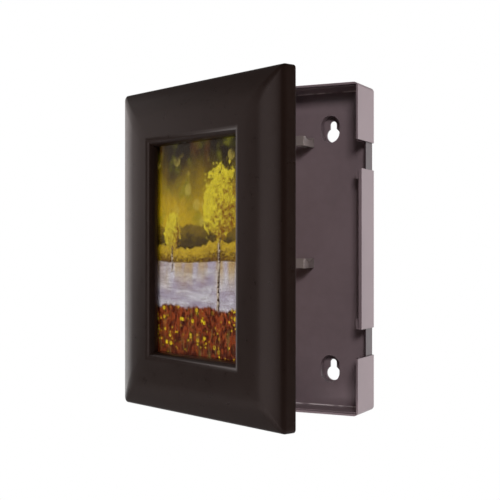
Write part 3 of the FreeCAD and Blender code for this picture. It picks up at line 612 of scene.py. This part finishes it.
# %% Swing between shut and open
hinge = next(joint for joint in frame["joints"] if joint["name"] == "door_hinge")
pin = Matrix.Translation(hinge["pos_m"])
shut_angle = math.radians(hinge["range_deg"][0])
to_shut = pin @ Matrix.Rotation(shut_angle, 4, Vector(hinge["axis"])) @ pin.inverted()
to_open = to_shut.inverted()


def shut_box(node):
    """Lowest and highest corner of a door node with the door shut."""
    corners = [to_shut @ vertex.co for vertex in frame["nodes"][node].data.vertices]
    return (Vector(map(min, *corners)), Vector(map(max, *corners)))


def swing_open(bm):
    """Turns what was drawn shut to where the door stands."""
    bmesh.ops.transform(bm, matrix=to_open, verts=bm.verts)


moulding_low, moulding_high = shut_box("door_frame")
print("door, shut, in mm:", [round(side / MM, 2) for side in moulding_high - moulding_low])

# %% [markdown]
# ## The frame moulding
# The door is one broad moulding, mitred at its corners like a picture frame. Its section runs up the
# outer edge, rolls over in a small and a large curve to the hardly domed face, and dips through a round
# lip into the opening. It could be a profile swept along a path. Here one round-cornered ring is
# extruded again and again, each time to the next point of the section. That keeps the corners true
# where the borders differ in width, and lets each ring have its own corner radius: small outside,
# larger over the roll, where the mitre is rubbed soft, and none at the opening, where it is sharp.

# %% Draw the section as a row of rings
half_wide = moulding_high.x
half_tall = moulding_high.z
rear = -moulding_high.y
front = -moulding_low.y
glass_low, glass_high = shut_box("glazing")
board_high = shut_box("backing_board")[1]
cover_low = shut_box("door_liner")[0]

edge_high = 7 * MM
roll_wide = 20 * MM
roll_small = 4 * MM
dome_wide = 33 * MM
dome_slope = math.radians(4)
lip_round = 6 * MM
rim_round = 0.4 * MM
rim_wide = 2.4 * MM
corner_round = 2.5 * MM
mitre_round = 7 * MM
ledge_wide = 14 * MM
sheet_gap = 0.5 * MM
opening_wide = 46 * MM
opening_tall = 72.5 * MM
hold = 0.4 * MM


def from_edge(inward, high):
    """Ring at a distance in from the outer edge and up from the back of the door."""
    blend = min(inward / roll_wide, 1)
    return (half_wide - inward, half_tall - inward, rear + high,
            corner_round + (mitre_round - corner_round) * blend)


def from_opening(outward, low):
    """Sharp ring at a distance out from the opening and down from the face of the door."""
    return (opening_wide + outward, opening_tall + outward, front - low, 0)


def arc(centre, radius, start, end, steps):
    """Points on an arc, from one angle to another in degrees."""
    for step in range(steps + 1):
        angle = math.radians(start + (end - start) * step / steps)
        yield (centre[0] + radius * math.cos(angle), centre[1] + radius * math.sin(angle))


def roll():
    """The front of the section: a small arc off the outer edge, a large one, and a hardly curved dome
    that fades into the flat face. Each arc leaves the last one smoothly."""
    high = front - rear
    dome_radius = (dome_wide - roll_wide) / math.sin(dome_slope)
    meet = Vector((roll_wide, high - dome_radius * (1 - math.cos(dome_slope))))
    small_centre = Vector((roll_small, edge_high))
    out = Vector((-math.sin(dome_slope), math.cos(dome_slope)))
    apart = meet - small_centre
    large_radius = (apart.length_squared - roll_small ** 2) / (2 * (apart.dot(out) - roll_small))
    large_centre = meet - out * large_radius
    join = math.degrees(math.atan2(*(small_centre - large_centre).yx))
    yield from arc(small_centre, roll_small, 180, join, 6)
    end = 90 + math.degrees(dome_slope)
    yield from list(arc(large_centre, large_radius, join, end, 12))[1:]
    yield from list(arc((dome_wide, high - dome_radius), dome_radius, end, 90, 5))[1:]


def section():
    """Half width, half height, depth and corner radius of each ring, from the picture pocket round
    the outside and back to it."""
    pocket = (glass_high.x + sheet_gap, glass_high.z + sheet_gap)
    window = (pocket[0] + ledge_wide, pocket[1] + ledge_wide)
    yield (*pocket, -board_high.y, 0)
    yield (*window, -board_high.y, 0)
    yield (*window, -cover_low.y, 0)
    yield from_edge(rim_wide, -cover_low.y - rear)
    yield from_edge(rim_wide, 0)
    yield from (from_edge(inward, high) for inward, high in arc(
        (rim_round, rim_round), rim_round, 270, 180, 3))
    yield from_edge(0, edge_high - hold)
    yield from (from_edge(*point) for point in roll())
    yield from_opening(lip_round + hold, 0)
    yield from (from_opening(lip_round - outward, low) for outward, low in arc(
        (0, lip_round), lip_round, 270, 360, 8))
    yield from_opening(0, lip_round + hold)
    yield (opening_wide, opening_tall, -glass_low.y, 0)
    yield (*pocket, -glass_low.y, 0)
    yield (*pocket, -board_high.y, 0)


rings = list(section())
print("section:", len(rings), "rings")

# %% Extrude the rings
def round_ring(bm, segments=8):
    """A ring with round corners. It also returns, for each of its points, which corner it belongs to
    and which way it lies from that corner's centre."""
    round_off = 0.5
    level = Matrix.Rotation(math.radians(90), 4, "X")
    bmesh.ops.create_grid(bm, x_segments=1, y_segments=1, size=1, matrix=level)
    bmesh.ops.bevel(bm, geom=bm.verts[:], offset=round_off, offset_type="OFFSET", segments=segments,
                    profile=0.5, affect="VERTICES", material=-1)
    bmesh.ops.delete(bm, geom=bm.faces[:], context="FACES_ONLY")
    places = []
    for vert in bm.verts:
        corner = Vector((math.copysign(1, vert.co.x), 0, math.copysign(1, vert.co.z)))
        lean = (vert.co - corner * (1 - round_off)) / round_off
        places.append((corner, lean))
    return bm.verts[:], places


def place_ring(verts, places, ring):
    """Moves the points of a ring to a half width, half height, depth and corner radius."""
    wide, tall, deep, radius = ring
    for vert, (corner, lean) in zip(verts, places):
        vert.co = (corner.x * (wide - radius) + lean.x * radius, -deep,
                   corner.z * (tall - radius) + lean.z * radius)


def extrude_rings(bm, rings):
    """A closed tube through all rings."""
    verts, places = round_ring(bm)
    edges = bm.edges[:]
    place_ring(verts, places, rings[0])
    for ring in rings[1:]:
        made = bmesh.ops.extrude_edge_only(bm, edges=edges)["geom"]
        new = {item for item in made if isinstance(item, bmesh.types.BMVert)}
        edges = [item for item in made
                 if isinstance(item, bmesh.types.BMEdge) and new.issuperset(item.verts)]
        verts = [next(edge.other_vert(vert) for edge in vert.link_edges if edge.other_vert(vert) in new)
                 for vert in verts]
        place_ring(verts, places, ring)
    bmesh.ops.remove_doubles(bm, verts=bm.verts, dist=0.002 * MM)
    bmesh.ops.recalc_face_normals(bm, faces=bm.faces)


moulding = bmesh.new()
extrude_rings(moulding, rings)
print("open edges:", sum(not edge.is_manifold for edge in moulding.edges))
swing_open(moulding)
make_piece("frame_moulding", moulding, "door", "door", door_plastic, ["door_frame"], 30)

# %% [markdown]
# ## Glazing and print
# Both are plain sheets cut with clean edges: a slab each, bevelled all round. The print gets a UV map
# that runs once over its face, so the picture is glued to the paper.

# %% Cut the sheets
def slab(low, high, round_off):
    """A thin sheet between two corners, with its edges taken off."""
    bm = bmesh.new()
    size = high - low
    middle = Matrix.Translation((low + high) / 2) @ Matrix.Diagonal((*size, 1))
    bmesh.ops.create_cube(bm, size=1, matrix=middle)
    bmesh.ops.bevel(bm, geom=bm.edges[:], offset=round_off, offset_type="OFFSET", segments=2,
                    profile=0.5, affect="EDGES", material=-1)
    return bm


def lay_picture(bm, low, high):
    """UV map that spans the sheet once, seen from the front. The back is mapped past the picture's
    right border, where the finish is bare paper."""
    layer = bm.loops.layers.uv.new("UVMap")
    bm.normal_update()
    for face in bm.faces:
        past = 2 if face.normal.y > 0.5 else 0
        for loop in face.loops:
            across = (loop.vert.co.x - low.x) / (high.x - low.x)
            up = (loop.vert.co.z - low.z) / (high.z - low.z)
            loop[layer].uv = (past + across, up)


glass = slab(glass_low, glass_high, 0.1 * MM)
swing_open(glass)
make_piece("clear_glazing", glass, "door", "glazing", glazing_sheet, ["glazing"])

paper_low, paper_high = shut_box("picture_print")
paper = slab(paper_low, paper_high, 0.05 * MM)
lay_picture(paper, paper_low, paper_high)
swing_open(paper)
make_piece("landscape_print", paper, "door", "print", landscape, ["picture_print"])

# %% [markdown]
# ## Screws
# The screws are small pan heads with a cross recess, which is what makes them read as screws from a
# step away. One is turned from a half section by a spin, its recess is cut with two crossed wedges,
# and the rest are copies of it at the places that the frame gives.

# %% Turn one screw
def turn_screw(head, shank, head_high, length):
    """A screw with the top of its head at the origin, pointing along -Y."""
    bm = bmesh.new()
    outline = [(0, 0), (head * 0.5, -0.06 * MM), (head * 0.85, -0.3 * MM), (head, -0.75 * MM),
               (head, -head_high), (shank, -head_high), (shank, -length + shank), (0, -length)]
    verts = [bm.verts.new((radius, high, 0)) for radius, high in outline]
    edges = [bm.edges.new(pair) for pair in zip(verts, verts[1:])]
    bmesh.ops.spin(bm, geom=verts + edges, cent=(0, 0, 0), axis=(0, 1, 0), angle=math.tau, steps=24,
                   use_merge=True)
    bmesh.ops.remove_doubles(bm, verts=bm.verts, dist=0.002 * MM)
    bmesh.ops.recalc_face_normals(bm, faces=bm.faces)
    return bm


def cross_cutter(arm, thick, deep):
    """Two crossed wedges that point down into the head. They overlap, so the cut has to allow for it."""
    bm = bmesh.new()
    for wide, tall in ((arm, thick), (thick, arm)):
        made = bmesh.ops.create_cube(bm, size=1)["verts"]
        bmesh.ops.scale(bm, verts=made, vec=(wide * 2, deep * 2, tall * 2))
        lower = [vert for vert in made if vert.co.y < 0]
        bmesh.ops.scale(bm, verts=lower, vec=(0.55, 1, 0.55))
    return bm


def cut_screw(head, shank, head_high, length):
    """Mesh of a screw with its recess cut."""
    scratch = []
    for name, bm in (("screw", turn_screw(head, shank, head_high, length)),
                     ("recess", cross_cutter(head * 0.55, head * 0.1, 0.8 * MM))):
        mesh = bpy.data.meshes.new(name)
        bm.to_mesh(mesh)
        bm.free()
        scratch.append(bpy.data.objects.new(name, mesh))
        bpy.context.scene.collection.objects.link(scratch[-1])
    cut = scratch[0].modifiers.new("recess", "BOOLEAN")
    cut.object = scratch[1]
    cut.solver = "EXACT"
    cut.use_self = True
    settle(scratch[0])
    mesh = scratch[0].data
    for made in scratch:
        bpy.data.objects.remove(made)
    return mesh


# %% Measure where each screw goes and set them
def solids(node):
    """Shut boxes of the separate solids in a node."""
    bm = merged_copy(node)
    left = set(bm.verts)
    boxes = []
    while left:
        group = {left.pop()}
        fresh = set(group)
        while fresh:
            fresh = {edge.other_vert(vert) for vert in fresh for edge in vert.link_edges} - group
            group |= fresh
        left -= group
        corners = [to_shut @ vert.co for vert in group]
        boxes.append((Vector(map(min, *corners)), Vector(map(max, *corners))))
    bm.free()
    return boxes


shank_radius = 1.4 * MM
head_high = 1.5 * MM
for node, name in (("liner_screws", "cover_screws"), ("arm_screws", "foot_screws"),
                   ("clip_screws", "pivot_screws")):
    boxes = solids(node)
    low, high = boxes[0]
    screw = cut_screw((high.x - low.x) / 2, shank_radius, head_high, high.y - low.y)
    group = bmesh.new()
    for number, (low, high) in enumerate(boxes):
        before = len(group.verts)
        group.from_mesh(screw)
        group.verts.ensure_lookup_table()
        added = group.verts[before:]
        turn = Matrix.Rotation(math.radians(37 * number + 11), 4, "Y")
        spot = Matrix.Translation(((low.x + high.x) / 2, high.y, (low.z + high.z) / 2))
        bmesh.ops.transform(group, matrix=spot @ turn, verts=added)
    swing_open(group)
    make_piece(name, group, "door", "screw", screw_zinc, [node], 40)

# %% [markdown]
# ## Studio
# The photograph is a cut-out on pure white. The floor and the world are white where they are seen
# straight on or behind the object in a mirror, so no extra light falls on the object to get there. For
# its light, the studio is white behind, fades towards the left and is dim in front and on the right. A
# dark gloss like the door's shows hardly more than what it mirrors, so its bright left edge, its even
# face and its dark right side all come from that one slope, and its dark top edge from a dark ceiling.

# %% Floor and world
white = (1, 1, 1, 1)
warm_white = (1, 0.93, 0.92, 1)
floor_drop = 300 * MM
shadow_reach = 900 * MM


def shown_white(finish, behind):
    """1 for rays from the camera, and for those in a mirror or through glass that go behind."""
    path = finish.tree.nodes.new("ShaderNodeLightPath")
    kinds = ("Is Camera Ray", "Is Glossy Ray", "Is Transmission Ray")
    camera_ray, glossy_ray, through_ray = (Wire(finish, path.outputs[kind]) for kind in kinds)
    return camera_ray + (glossy_ray + through_ray) * behind


def white_floor():
    """Grey card, shown white, that keeps a faint shadow near the object and none farther off. In a
    mirror it is white only behind the object, and not to its right."""
    finish = Finish(bpy.data.materials.new("white_floor"))
    place = finish.node("ShaderNodeTexCoord", output=3)
    speck = finish.noise(place, 40 * MM, 2)
    paper = finish.node("ShaderNodeBsdfDiffuse", None, {
        "Color": finish.blend(speck, (0.4, 0.39, 0.39, 1), (0.44, 0.43, 0.43, 1))})
    glow = finish.node("ShaderNodeEmission", None, {"Color": white, "Strength": 1.0})
    across, deep, _ = axes(finish, place)
    away = (across * across + deep * deep) ** 0.5
    cover = 0.95 + away.rise(0.3 * shadow_reach, shadow_reach) * 0.05
    behind = (deep - (across + size_of(across)) * 0.4).rise(0.1, 0.6)
    shader = finish.node("ShaderNodeMixShader", None, {
        0: shown_white(finish, behind) * cover, 1: paper, 2: glow})
    finish.node("ShaderNodeOutputMaterial", None, {"Surface": shader})
    return finish.owner


floor_mesh = bmesh.new()
bmesh.ops.create_grid(floor_mesh, x_segments=1, y_segments=1, size=30,
                      matrix=Matrix.Translation((0, 0, cad_box[0].z - floor_drop)))
mesh = bpy.data.meshes.new("floor")
floor_mesh.to_mesh(mesh)
floor_mesh.free()
mesh.materials.append(white_floor())
floor = bpy.data.objects.new("floor", mesh)
bpy.context.scene.collection.objects.link(floor)

dim_side = 0.05
world = Finish(bpy.data.worlds.new("studio"))
bpy.context.scene.world = world.owner
right, back, up = axes(world, world.node("ShaderNodeTexCoord", output=0))
below_ceiling = 1 - up.rise(0.05, 0.45) * 0.92
slope = (back * 0.9 - right * 0.55).rise(0.08, 0.75) * below_ceiling
studio = world.node("ShaderNodeBackground", None, {
    "Color": warm_white, "Strength": slope * (1 - dim_side) + dim_side})
backdrop = world.node("ShaderNodeBackground", None, {"Color": white, "Strength": 1.0})
sky = world.node("ShaderNodeMixShader", None, {
    0: shown_white(world, back.rise(0.7, 0.94) * below_ceiling), 1: studio, 2: backdrop})
world.node("ShaderNodeOutputWorld", None, {"Surface": sky})
print("floor at", round(cad_box[0].z - floor_drop, 3))

# %% [markdown]
# ## Softboxes
# Two softboxes show in the door: the mirror image of the front one is the soft upright band on its
# right roll, and that of the rim one brightens its left edge. The others only light, and stay out of
# the mirrors. The left one is for the door and its print, the right one for the side of the box, and
# the high one reaches in beside the open door, so that the hooks throw a shadow on the panel.

# %% Hang the softboxes
def softbox(name, turn, rise, away, wide, tall, level, mirrored=False):
    """A rectangular lamp that faces the object and that the camera does not see. Turn is in degrees to
    the right of straight ahead, and rise is above level. The level is how bright white card would be."""
    lamp = bpy.data.lights.new(name, "AREA")
    lamp.shape = "RECTANGLE"
    lamp.size = wide
    lamp.size_y = tall
    lamp.energy = level * math.pi ** 2 * away ** 2
    holder = bpy.data.objects.new(name, lamp)
    turn, rise = math.radians(turn), math.radians(rise)
    towards = Vector((math.sin(turn) * math.cos(rise), -math.cos(turn) * math.cos(rise), math.sin(rise)))
    holder.location = towards * away
    holder.rotation_euler = (-towards).to_track_quat("-Z", "Y").to_euler()
    holder.visible_camera = False
    holder.visible_glossy = mirrored
    bpy.context.scene.collection.objects.link(holder)


softbox("front_softbox", -36, -2, 1.4, 0.9, 1.2, 0.13, mirrored=True)
softbox("rim_softbox", -104, 0, 1.4, 0.8, 1.6, 0.09, mirrored=True)
softbox("left_softbox", -48, -12, 1.3, 0.8, 0.5, 0.85)
softbox("right_softbox", 92, 4, 1.1, 0.5, 0.8, 0.8)
softbox("high_softbox", 31, 22, 1.3, 0.32, 0.26, 0.38)
print("five softboxes")
